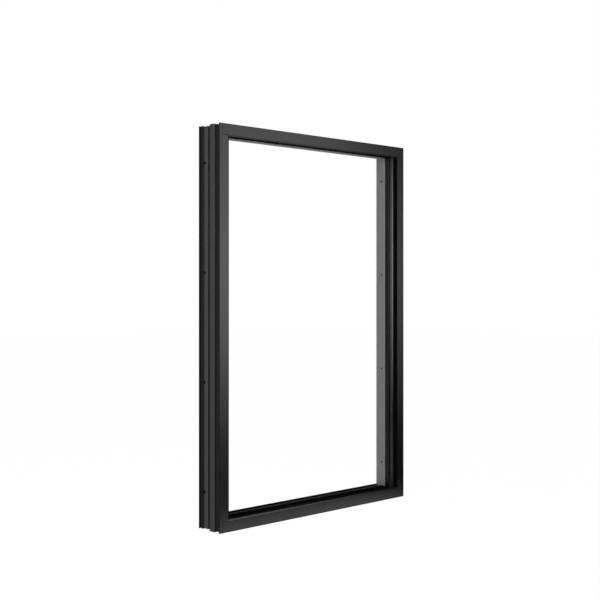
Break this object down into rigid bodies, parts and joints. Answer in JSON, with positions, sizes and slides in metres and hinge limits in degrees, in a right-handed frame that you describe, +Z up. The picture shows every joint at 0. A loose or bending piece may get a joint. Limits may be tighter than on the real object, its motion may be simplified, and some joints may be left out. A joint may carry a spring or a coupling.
{
  "type": "fixed picture window",
  "caption": "Fixed picture window: a deep black aluminium frame with a flat face flange and ribbed outer sides around one sealed double-glazed unit.",
  "frame": {"origin": "on the floor under the middle of the frame", "axes": "+Z up, +X to the right seen from the front, +Y from the front face back towards the room"},
  "size_m": [1, 0.126, 1.5],
  "materials": {
    "frame_coat": "black powder coat",
    "thermal_plastic": "matte black",
    "gasket_rubber": "matte black rubber",
    "spacer_metal": "dark satin metal",
    "clear_glass": "clear float glass",
    "block_rubber": "matte black rubber"
  },
  "bodies": {
    "root": {"left_jamb_exterior": "frame_coat", "left_jamb_thermal_break": "thermal_plastic", "left_jamb_interior": "frame_coat", "left_jamb_bead": "frame_coat", "left_jamb_outer_gasket": "gasket_rubber", "left_jamb_inner_gasket": "gasket_rubber", "left_jamb_spacer": "spacer_metal", "head_exterior": "frame_coat", "head_thermal_break": "thermal_plastic", "head_interior": "frame_coat", "head_bead": "frame_coat", "head_outer_gasket": "gasket_rubber", "head_inner_gasket": "gasket_rubber", "head_spacer": "spacer_metal", "right_jamb_exterior": "frame_coat", "right_jamb_thermal_break": "thermal_plastic", "right_jamb_interior": "frame_coat", "right_jamb_bead": "frame_coat", "right_jamb_outer_gasket": "gasket_rubber", "right_jamb_inner_gasket": "gasket_rubber", "right_jamb_spacer": "spacer_metal", "sill_exterior": "frame_coat", "sill_thermal_break": "thermal_plastic", "sill_interior": "frame_coat", "sill_bead": "frame_coat", "sill_outer_gasket": "gasket_rubber", "sill_inner_gasket": "gasket_rubber", "sill_spacer": "spacer_metal", "outer_pane": "clear_glass", "inner_pane": "clear_glass", "left_setting_block": "block_rubber", "right_setting_block": "block_rubber"}
  },
  "joints": []
}
